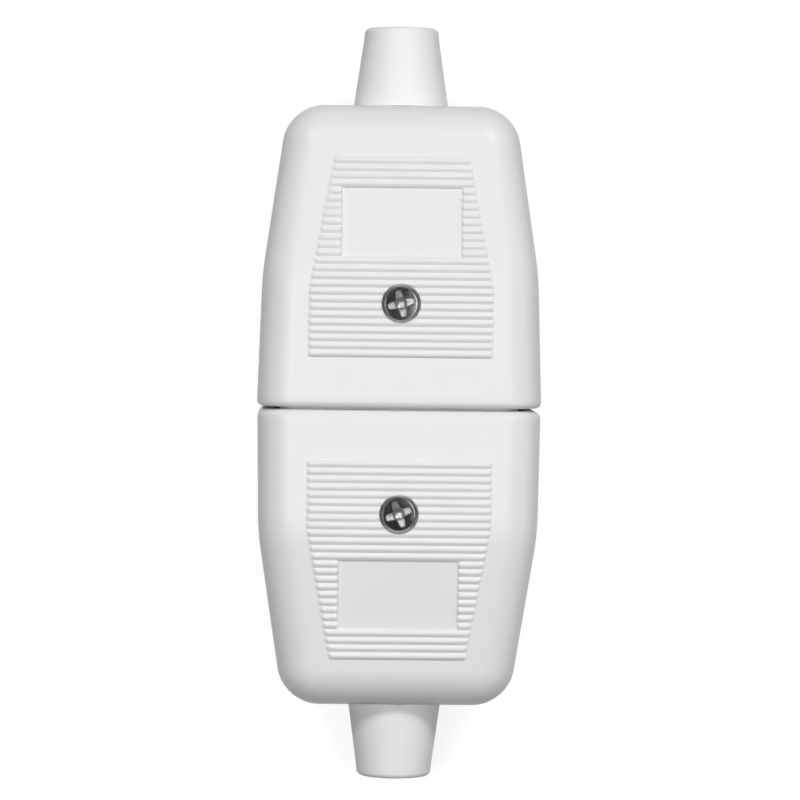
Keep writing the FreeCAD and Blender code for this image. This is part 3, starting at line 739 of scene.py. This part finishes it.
@dataclass
class CordGuard:
    """Flexible tapered sleeve gripped by the end walls."""

    shop: Workshop
    sizes: HousingSizes
    base_r: float
    tip_r: float
    bore_r: float = 3.6
    tip_round: float = 0.8
    lip_round: float = 0.35
    neck_r: float = 5.2
    clearance: float = 0.1
    foot_gap: float = 0.01
    tip_ease: float = 0.05
    taper_reach: float = 0.9
    steps: int = 128

    def build(self) -> bpy.types.Object:
        """Turns the sleeve's profile: bore, flange, neck, taper and rounded tip."""
        low, high = self.shop.measure("cord_guard")
        end_y = self.shop.measure("cover")[1].y
        flange_r, reach = high.x, high.y
        flange_top = end_y - self.sizes.wall - self.clearance
        start_y, taper_y = end_y + self.foot_gap, reach - self.tip_round
        lean = math.degrees(math.atan2(self.base_r - self.tip_r, reach - start_y))
        tip_centre = (self.tip_r + self.tip_ease - self.tip_round, taper_y)
        lip_centre = (self.bore_r + self.lip_round, reach - self.lip_round)
        taper = [(self.base_r + (self.tip_r - self.base_r) * t, start_y + (taper_y - start_y) * t)
                 for t in np.linspace(0.0, self.taper_reach, 10)]
        profile = [(self.bore_r, low.y), (flange_r, low.y), (flange_r, flange_top),
                   (self.neck_r, flange_top), (self.neck_r, start_y), *taper,
                   *arc(tip_centre, self.tip_round, lean, 90.0, 9),
                   *arc(lip_centre, self.lip_round, 90.0, 180.0, 6)]
        made = self.shop.piece("cord_guard_sleeve", [lathe(profile, "y", self.steps)])
        self.shop.stand_in(made, "cord_guard", "cord_guard")
        GUARD_WHITE.dress(made)
        return made


@dataclass(frozen=True)
class ScrewKind:
    """What a box can't tell of a machine screw that hangs from the underside of its head."""

    head_height: float
    shank_r: float
    thread_pitch: float = 0.5
    thread_depth: float = 0.16
    crown: float = 0.02
    edge_round: float = 0.10
    plain_neck: float = 0.4
    tip_length: float = 0.8
    tip_share: float = 0.55
    root: float = 0.3


@dataclass(frozen=True)
class CrossPunch:
    """The punch of a cross recess: crossing wings, and a ball whose foot leaves a hollow in the middle.

    A wing's outline is |x / a|^4 + |y / b|^4 = 1, its shares narrow it downwards and its floor rises
    outwards. The hollow is r = R sin v and h = low + R (1 - cos v).
    """

    span: float = 3.8
    width: float = 1.1
    depth: float = 0.80
    chamfer: float = 0.09
    rise: float = 0.2
    ball_r: float = 1.2
    hollow_r: float = 0.9
    span_shares: tuple[float, ...] = (0.0, 1.0, 1.0, 0.95, 0.94, 0.94, 0.94)
    width_shares: tuple[float, ...] = (0.0, 1.0, 1.0, 0.84, 0.81, 0.40, 0.0)
    steps: int = 48

    def forms(self, top: float, over: float) -> tuple[Sheet, Sheet]:
        """The closed forms of a wing along x and of the hollow.

        Args:
            top: Height of the head's top.
            over: Height that the forms reach over the head.

        Returns:
            Wing and hollow.
        """
        floor, u = top - self.depth, np.linspace(0.0, 2 * np.pi, self.steps, endpoint=False)
        across = np.sign(np.cos(u)) * np.sqrt(np.abs(np.cos(u))) * self.span / 2
        along = np.sign(np.sin(u)) * np.sqrt(np.abs(np.sin(u))) * self.width / 2
        x, y = np.outer(self.span_shares, across), np.outer(self.width_shares, along)
        z = floor + self.rise * np.abs(x)
        z[:4] = np.array([over, over, top, top - self.chamfer])[:, None]
        wing = Sheet(np.stack([x, y, z], axis=-1).reshape(-1, 3), grid_faces(*x.shape, close_columns=True))
        low = floor - self.ball_r + math.sqrt(self.ball_r ** 2 - self.hollow_r ** 2)
        bowl = [(self.ball_r * math.sin(v), low + self.ball_r * (1 - math.cos(v)))
                for v in np.linspace(AXIS_R, math.asin(self.hollow_r / self.ball_r), 9)]
        return wing, lathe([*bowl, (self.hollow_r, over), (AXIS_R, over)], steps=self.steps)


CROSS_PUNCH = CrossPunch()
COVER_SCREW = ScrewKind(1.9, 1.42)
TERMINAL_SCREW = ScrewKind(1.5, 1.4)
CLAMP_SCREW = ScrewKind(1.6, 1.3)


@dataclass
class Screw:
    """A screw with a real thread, cut for its driver, at its node's place."""

    shop: Workshop
    part: str
    kind: ScrewKind
    slot_width: float = 0.6
    slot_depth: float = 0.7
    above: float = 0.5
    level_band: float = 0.0005
    crown_rings: tuple[float, float] = (0.99, 0.97)
    round_steps: int = 40
    turn_rows: int = 8
    head_steps: int = 64

    def __post_init__(self) -> None:
        """Reads the head's radius, the length and the place from the node's box."""
        low, high = self.shop.measure(self.part)
        self.head_r = (high.x - low.x) / 2
        self.length = high.z - low.z - self.kind.head_height
        self.place = np.array([(low.x + high.x) / 2, (low.y + high.y) / 2, high.z - self.kind.head_height])

    def head_profile(self) -> list[tuple[float, float]]:
        """Pan head: flat underside, rounded edge and a low crown that falls as the radius squared."""
        k = self.kind
        centre = (self.head_r - k.edge_round, k.head_height - k.crown - k.edge_round)
        edge = arc(centre, k.edge_round, 0.0, 90.0, 9)
        inner = edge[-1][0]
        first, second = self.crown_rings
        radii = [first * inner, *np.linspace(second * inner, AXIS_R, 7)]
        crown = [(r, edge[-1][1] + k.crown * (1 - (r / inner) ** 2)) for r in radii]
        return [(AXIS_R, 0.0), (self.head_r, 0.0), *edge, *crown]

    def thread(self) -> Sheet:
        """Shank whose radius follows a helix: R - d (0.5 + 0.5 cos(2 pi h / p - u)), with a blunt tip."""
        k = self.kind
        steps, turns = self.round_steps, max(self.length / k.thread_pitch, 1.0)
        rows = int(turns * self.turn_rows)
        u = np.linspace(0.0, 2 * np.pi, steps, endpoint=False)[None, :]
        h = np.linspace(k.root, -self.length, rows)[:, None]
        wave = 0.5 + 0.5 * np.cos(2 * np.pi * h / k.thread_pitch - u)
        tip = smooth_step((h + self.length) / k.tip_length)
        depth = k.thread_depth * wave * (h < -k.plain_neck)
        r = (k.shank_r - depth) * (k.tip_share + (1.0 - k.tip_share) * tip)
        points = np.stack([r * np.cos(u), r * np.sin(u), np.broadcast_to(h, r.shape)], axis=-1)
        quads = grid_faces(rows, steps, close_columns=True)
        caps = [list(range(steps)), list(range((rows - 1) * steps, rows * steps))[::-1]]
        return Sheet(points.reshape(-1, 3), quads, caps)

    def straight_slot(self, turn: float) -> list[tuple[Sheet, Finish]]:
        """Slot right across the head."""
        top, wide = self.kind.head_height, 2 * self.head_r
        low = (-self.slot_width / 2, -wide, top - self.slot_depth)
        return [(turned(slab(low, (-low[0], wide, top + self.above)), turn), RECESS_STEEL_PAINTED_REFLECTION)]

    def cross_recess(self, turn: float) -> list[tuple[Sheet, Finish]]:
        """Two crossing wings and the punch's hollow in the middle."""
        wing, hollow = CROSS_PUNCH.forms(self.kind.head_height, self.kind.head_height + self.above)
        return [(turned(wing, turn), RECESS_STEEL_PAINTED_REFLECTION), (turned(wing, turn + 90.0), RECESS_STEEL_PAINTED_REFLECTION),
                (hollow, BURNISHED_STEEL)]

    def shade_rounded_edge(self, head: bpy.types.Mesh) -> None:
        """Gives the rounded edge, whose faces are neither level nor upright, the rougher plating whose darker
        colour is painted shade.
        """
        head.materials.append(EDGE_SHADED_STEEL.material())
        normals = np.empty(3 * len(head.polygons))
        head.polygons.foreach_get("normal", normals)
        rise = normals[2::3]
        rounded = (rise > self.level_band) & (rise < 1.0 - self.level_band)
        head.polygons.foreach_set("material_index", rounded.astype(np.int32))

    def build(self, cutters: Sequence[tuple[Sheet, Finish]], slot: str) -> bpy.types.Object:
        """Builds the head, cuts the driver's recess and adds the threaded shank.

        Args:
            cutters: What the driver's recess takes out of the head, and the finish that it leaves.
            slot: A material slot's name; it is not used.

        Returns:
            The screw.
        """
        head = lathe(self.head_profile(), steps=self.head_steps)
        made = self.shop.piece(f"{self.part}_threaded", [head.moved(self.place)])
        ZINC_STEEL.dress(made)
        self.shade_rounded_edge(made.data)
        for cutter, finish in cutters:
            tool = self.shop.piece("cutter", [cutter.moved(self.place)])
            finish.dress(tool)
            self.shop.carve(made, tool)
        self.shop.join(made, self.shop.piece("shank", [self.thread().moved(self.place)]))
        self.shop.stand_in(made, self.part, slot)
        return made


def turned(sheet: Sheet, degrees: float) -> Sheet:
    """The sheet turned about the upright axis."""
    c, s = math.cos(math.radians(degrees)), math.sin(math.radians(degrees))
    x, y, z = sheet.points.T
    return Sheet(np.stack([c * x - s * y, s * x + c * y, z], axis=-1), sheet.quads, sheet.caps)


@dataclass
class SmoothedNode:
    """A CAD node that keeps its form, merged, with its sharp edges slightly broken."""

    shop: Workshop
    part: str
    finish: Finish
    slot: str
    edge_break: float = 0.08
    merge: float = 0.001
    flat_angle: float = 0.5
    break_angle: float = 50.0
    sharp_angle: float = 32.0

    def build(self) -> bpy.types.Object:
        """Copies the node, merges its doubles and flat triangles, and breaks its edges."""
        half = self.shop.half
        node = f"{half.value}_{self.part}"
        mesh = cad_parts[node].data.copy()
        mesh.name = f"{node}_finished"
        work = bmesh.new()
        work.from_mesh(mesh)
        bmesh.ops.remove_doubles(work, verts=work.verts, dist=self.merge * MM)
        bmesh.ops.dissolve_limit(work, angle_limit=math.radians(self.flat_angle), verts=work.verts,
                                 edges=work.edges)
        work.to_mesh(mesh)
        work.free()
        made = placed(mesh.name, mesh)
        bevel = made.modifiers.new("edge", "BEVEL")
        bevel.width, bevel.segments = self.edge_break * MM, 2
        bevel.limit_method, bevel.angle_limit = "ANGLE", math.radians(self.break_angle)
        graph = bpy.context.evaluated_depsgraph_get()
        broken = bpy.data.meshes.new_from_object(made.evaluated_get(graph))
        made.modifiers.clear()
        made.data = broken
        broken.name = f"{node}_finished"
        broken.shade_smooth()
        broken.set_sharp_from_angle(angle=math.radians(self.sharp_angle))
        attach(made, half.body)
        self.shop.stand_in(made, self.part, self.slot)
        self.finish.dress(made)
        return made


@dataclass
class BackFittings:
    """What stands on the back shell's floor under other pieces: cradles, earth post, saddle and lip."""

    shop: Workshop
    sizes: HousingSizes
    conductor: str
    cheek: float = 1.1
    cheek_height: float = 2.0
    fit: float = 0.05
    arch_r: float = 3.4
    lip_start: float = 1.6
    lip_gap: float = 0.1
    lip_root: float = 1.0
    lip_rows: int = 40

    def cradle(self, pole: str) -> Sheet:
        """Post with a shallow pocket: a U-shaped outline carried along the length."""
        low, high = self.shop.measure(f"{pole}_{self.conductor}")
        x, pillar = (low.x + high.x) / 2, high.x - low.x
        a = pillar / 2 + self.fit
        b, top = a + self.cheek, low.z + self.cheek_height
        right = [(b, self.floor), (b, top), (a, top), (a, low.z)]
        outline = [*right, *[(-u, v) for u, v in right[::-1]]]
        return self.extrusion([(x + u, v) for u, v in outline], high.y - pillar, high.y)

    @property
    def floor(self) -> float:
        """Height just inside the back wall."""
        return -self.sizes.half_thickness + self.sizes.wall - ROOT

    def earth_post(self) -> Sheet:
        """Post under the earth pillar, as wide as the pillars beside it."""
        low, high = self.shop.measure(f"earth_{self.conductor}")
        beside_low, beside_high = self.shop.measure(f"live_{self.conductor}")
        pillar = beside_high.x - beside_low.x
        return slab((-pillar / 2, high.y - pillar, self.floor), (pillar / 2, high.y, low.z))

    def saddle(self) -> Sheet:
        """Wall with a half-round seat, under the clamp bar."""
        low, high = self.shop.measure("clamp_bar")
        deep = float(self.sizes.half_height(np.array(high.y))) - self.sizes.wall + ROOT
        seat = arc((0.0, 0.0), self.arch_r, 0.0, -180.0, 25)
        corners = [(-high.x, 0.0), (-high.x, -deep), (high.x, -deep)]
        return self.extrusion([(high.x, 0.0), *seat, *corners], low.y, high.y)

    def lip(self, side: float) -> Sheet:
        """Tongue along one wall: a small rectangle carried beside the wall's inner half."""
        rows, top = self.lip_rows, self.sizes.lip_height
        y = np.linspace(self.lip_start, self.shop.measure("cord_guard")[0].y - self.lip_gap, rows)
        outer = self.sizes.half_width(y) - self.sizes.wall / 2
        inner = self.sizes.half_width(y) - self.sizes.wall
        x = side * np.stack([outer, outer, inner, inner], axis=1)
        z = np.array([-self.lip_root, top, top, -self.lip_root])[None, :] + 0 * x
        points = np.stack([x, np.repeat(y[:, None], 4, axis=1), z], axis=-1).reshape(-1, 3)
        ends = [[0, 1, 2, 3], list(range(4 * rows - 1, 4 * rows - 5, -1))]
        return Sheet(points, grid_faces(rows, 4, close_columns=True), ends)

    @staticmethod
    def extrusion(outline: Sequence[tuple[float, float]], y0: float, y1: float) -> Sheet:
        """An outline of x and z carried straight from y0 to y1."""
        n = len(outline)
        points = [(u, y, v) for y in (y0, y1) for u, v in outline]
        quads = grid_faces(2, n, close_columns=True)
        return Sheet(np.array(points), quads, [list(range(n)), list(range(2 * n - 1, n - 1, -1))])

    def sheets(self) -> list[Sheet]:
        """All the fittings."""
        return [self.cradle("live"), self.cradle("neutral"), self.earth_post(), self.saddle(),
                self.lip(-1.0), self.lip(1.0)]


@dataclass(frozen=True)
class HalfForm:
    """What differs between the halves and no box tells."""

    bends: tuple[float, float, float, float]
    guard_base_r: float
    guard_tip_r: float
    recess_turn: float
    block: str
    conductor: str


FORMS = {
    HalfName.PLUG: HalfForm(bends=(18.5, 0.6, 3.35, 0.85), guard_base_r=6.65, guard_tip_r=5.15,
                            recess_turn=14.0, block="pin_block", conductor="pin"),
    HalfName.SOCKET: HalfForm(bends=(17.3, 0.25, 3.65, 1.2), guard_base_r=6.54, guard_tip_r=5.2,
                              recess_turn=21.0, block="contact_block", conductor="contact"),
}


@dataclass
class HalfBuilder:
    """Builds and dresses every piece of one half."""

    shop: Workshop
    form: HalfForm

    def shells(self) -> Iterator[bpy.types.Object]:
        """The two shells and the sleeve that they grip."""
        sizes = HousingSizes.measured(self.shop, *self.form.bends)
        housing = Housing(self.shop, sizes, GripSizes())
        fittings = BackFittings(self.shop, sizes, self.form.conductor)
        for shell in (housing.cover(), housing.base(fittings.sheets())):
            SHELL_WHITE.dress(shell)
            yield shell
        yield CordGuard(self.shop, sizes, self.form.guard_base_r, self.form.guard_tip_r).build()

    def screws(self) -> Iterator[bpy.types.Object]:
        """Cover screw, terminal screws and clamp screws, each left by hand at a turn of its own."""
        cover = Screw(self.shop, "cover_screw", COVER_SCREW)
        yield cover.build(cover.cross_recess(self.form.recess_turn), "screw_steel")
        for pole, turn in (("live", 25.0), ("neutral", -40.0), ("earth", 70.0)):
            screw = Screw(self.shop, f"{pole}_terminal_screw", TERMINAL_SCREW)
            yield screw.build(screw.straight_slot(turn), "terminal_screw")
        for side, turn in (("left", 10.0), ("right", -55.0)):
            screw = Screw(self.shop, f"clamp_screw_{side}", CLAMP_SCREW)
            yield screw.build(screw.straight_slot(turn), "clamp_screw")

    def inner_pieces(self) -> Iterator[bpy.types.Object]:
        """Block, conductors, nut and clamp bar."""
        brass = [f"{pole}_{self.form.conductor}" for pole in ("live", "neutral", "earth")] + ["cover_nut"]
        pieces = [(part, STAMPED_BRASS, "brass") for part in brass]
        pieces += [("clamp_bar", SHELL_WHITE, "clamp"), (self.form.block, INSULATOR, "insulator")]
        for part, finish, slot in pieces:
            yield SmoothedNode(self.shop, part, finish, slot).build()

    def build(self) -> None:
        """Builds and logs every piece."""
        for step in (self.shells, self.screws, self.inner_pieces):
            for made in step():
                LOG.info("%s: %d faces", made.name, len(made.data.polygons))


@dataclass(frozen=True)
class SoftLight:
    """A round lamp that faces the connector; its direction is from the connector to the lamp."""

    name: str
    toward: tuple[float, float, float]
    away: float
    size: float
    watts: float

    def hang(self) -> None:
        """Makes the lamp and turns its face to the origin."""
        data = bpy.data.lights.new(self.name, "AREA")
        data.shape, data.size, data.energy = "DISK", self.size, self.watts
        lamp = placed(self.name, data)
        direction = Vector(self.toward).normalized()
        lamp.location = direction * self.away
        lamp.rotation_mode = "QUATERNION"
        lamp.rotation_quaternion = direction.to_track_quat("Z", "Y")


# Rays that see the white surroundings as they are: straight, mirrored and through glass.
SEEN_RAYS = ("Is Camera Ray", "Is Glossy Ray", "Is Transmission Ray")


@dataclass
class Studio:
    """White paper floor, soft lamps and the photograph's camera.

    Two lamps stand close beside the lens and give the flat faces their sheen. The gap between them is what
    the flat screw heads mirror, so these stay dark. A key and a fill lamp come from beyond the appliance end,
    one on each side, and two weak ones light the sides.
    """

    distance: float = 0.538
    aim_height: float = 0.014
    sensor_mm: float = 36.0
    tilt: float = 1.66
    lean: float = -1.49
    roll: float = 0.66
    image_px: float = 800.0
    mid_scale: float = 0.1410
    centre_px: tuple[float, float] = (397.5, 402.65)
    floor_reach: float = 3.0
    floor_colour: str = "#8E8E8E"
    floor_bounce_colour: str = "#404040"
    floor_glow: float = 0.84
    dim_world: float = 0.02
    dark_ceiling: float = 0.02
    ceiling_edge: tuple[float, float] = (0.35, 0.7)
    lamps: tuple[SoftLight, ...] = (
        SoftLight("lens_left", (-0.20, 0.0, 1.0), 0.95, 0.24, 1.95),
        SoftLight("lens_right", (0.21, 0.0, 1.0), 0.95, 0.24, 1.60),
        SoftLight("key", (0.48, 0.80, 1.0), 2.4, 0.45, 21.0),
        SoftLight("fill", (-0.52, 0.76, 1.0), 2.4, 0.45, 12.4),
        SoftLight("side_left", (-0.52, 0.0, 1.0), 1.6, 0.50, 2.7),
        SoftLight("side_right", (2.3, 0.0, 1.0), 1.6, 0.80, 2.6),
    )

    def build(self) -> None:
        """Sets the whole stage."""
        bpy.context.scene.view_settings.view_transform = "Standard"
        self.world()
        self.floor()
        for lamp in self.lamps:
            lamp.hang()
        self.camera()

    @staticmethod
    def seen_rays(tree: bpy.types.NodeTree) -> bpy.types.NodeSocket:
        """Adds the sum of the seen kinds of ray to a tree: 1 for a ray that sees the surroundings, or 0."""
        rays = add_node(tree, "ShaderNodeLightPath")
        seen = rays.outputs[SEEN_RAYS[0]]
        for kind in SEEN_RAYS[1:]:
            seen = add_node(tree, "ShaderNodeMath", {0: seen, 1: rays.outputs[kind]}, operation="ADD",
                            use_clamp=True).outputs[0]
        return seen

    def world(self) -> None:
        """Surroundings that are white round the horizon, dark overhead, and throw only a dim even light."""
        made = bpy.data.worlds.new("surroundings")
        tree = empty_tree(made)
        heading = add_node(tree, "ShaderNodeTexCoord").outputs["Generated"]
        height = add_node(tree, "ShaderNodeSeparateXYZ", {0: heading}).outputs["Z"]
        wall = add_node(tree, "ShaderNodeMapRange", {
            "Value": height, "From Min": self.ceiling_edge[0], "From Max": self.ceiling_edge[1],
            "To Min": 1.0, "To Max": self.dark_ceiling}, interpolation_type="SMOOTHSTEP")
        shown = self.seen_rays(tree)
        strength = add_node(tree, "ShaderNodeMix", {0: shown, 2: self.dim_world, 3: wall.outputs["Result"]})
        light = add_node(tree, "ShaderNodeBackground", {"Strength": strength.outputs[0]})
        add_node(tree, "ShaderNodeOutputWorld", {"Surface": light.outputs[0]})
        bpy.context.scene.world = made

    def floor(self) -> None:
        """Level sheet that reads white where it is seen, keeps the shadow and throws little light back up."""
        mesh = bpy.data.meshes.new("floor")
        corners = np.array([[-1, -1, 0], [1, -1, 0], [1, 1, 0], [-1, 1, 0]]) * self.floor_reach
        mesh.from_pydata(corners.tolist(), [], [(0, 1, 2, 3)])
        floor = placed("floor", mesh)
        made = bpy.data.materials.new("white_paper")
        tree = empty_tree(made)
        paper = add_node(tree, "ShaderNodeBsdfDiffuse", {"Color": linear(self.floor_colour)})
        glow = add_node(tree, "ShaderNodeEmission", {"Strength": self.floor_glow})
        bright = add_node(tree, "ShaderNodeAddShader", {0: paper.outputs[0], 1: glow.outputs[0]})
        dull = add_node(tree, "ShaderNodeBsdfDiffuse", {"Color": linear(self.floor_bounce_colour)})
        shown = self.seen_rays(tree)
        mix = add_node(tree, "ShaderNodeMixShader", {0: shown, 1: dull.outputs[0], 2: bright.outputs[0]})
        add_node(tree, "ShaderNodeOutputMaterial", {"Surface": mix.outputs[0]})
        mesh.materials.append(made)
        floor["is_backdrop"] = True

    def camera(self) -> None:
        """Camera over the lying connector, with the appliance end at the top of the picture."""
        low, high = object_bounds()
        target = Vector(((low.x + high.x) / 2, (low.y + high.y) / 2, self.aim_height))
        slope_x, slope_y = math.tan(math.radians(self.lean)), math.tan(math.radians(self.tilt))
        back = Vector((slope_x, slope_y, 1.0)).normalized()
        data = bpy.data.cameras.new("camera")
        data.sensor_width = self.sensor_mm
        width = self.image_px * self.mid_scale * MM
        data.lens = data.sensor_width * self.distance / width
        data.shift_x = (self.image_px / 2 - self.centre_px[0]) / self.image_px
        data.shift_y = (self.centre_px[1] - self.image_px / 2) / self.image_px
        camera = placed("camera", data)
        right = Vector((0.0, 1.0, 0.0)).cross(back).normalized()
        up = back.cross(right)
        turn = Matrix((right, up, back)).transposed().to_4x4()
        spin = Matrix.Rotation(math.radians(self.roll), 4, "Z")
        camera.matrix_world = Matrix.Translation(target + back * self.distance) @ turn @ spin
        bpy.context.scene.camera = camera


def main() -> None:
    """Builds both halves, logging the faces of each dressed piece, and the stage."""
    logging.basicConfig(level=logging.INFO, format="%(name)s: %(message)s")
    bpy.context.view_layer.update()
    for half, form in FORMS.items():
        HalfBuilder(Workshop(half), form).build()
    Studio().build()


if __name__ == "__main__":
    main()
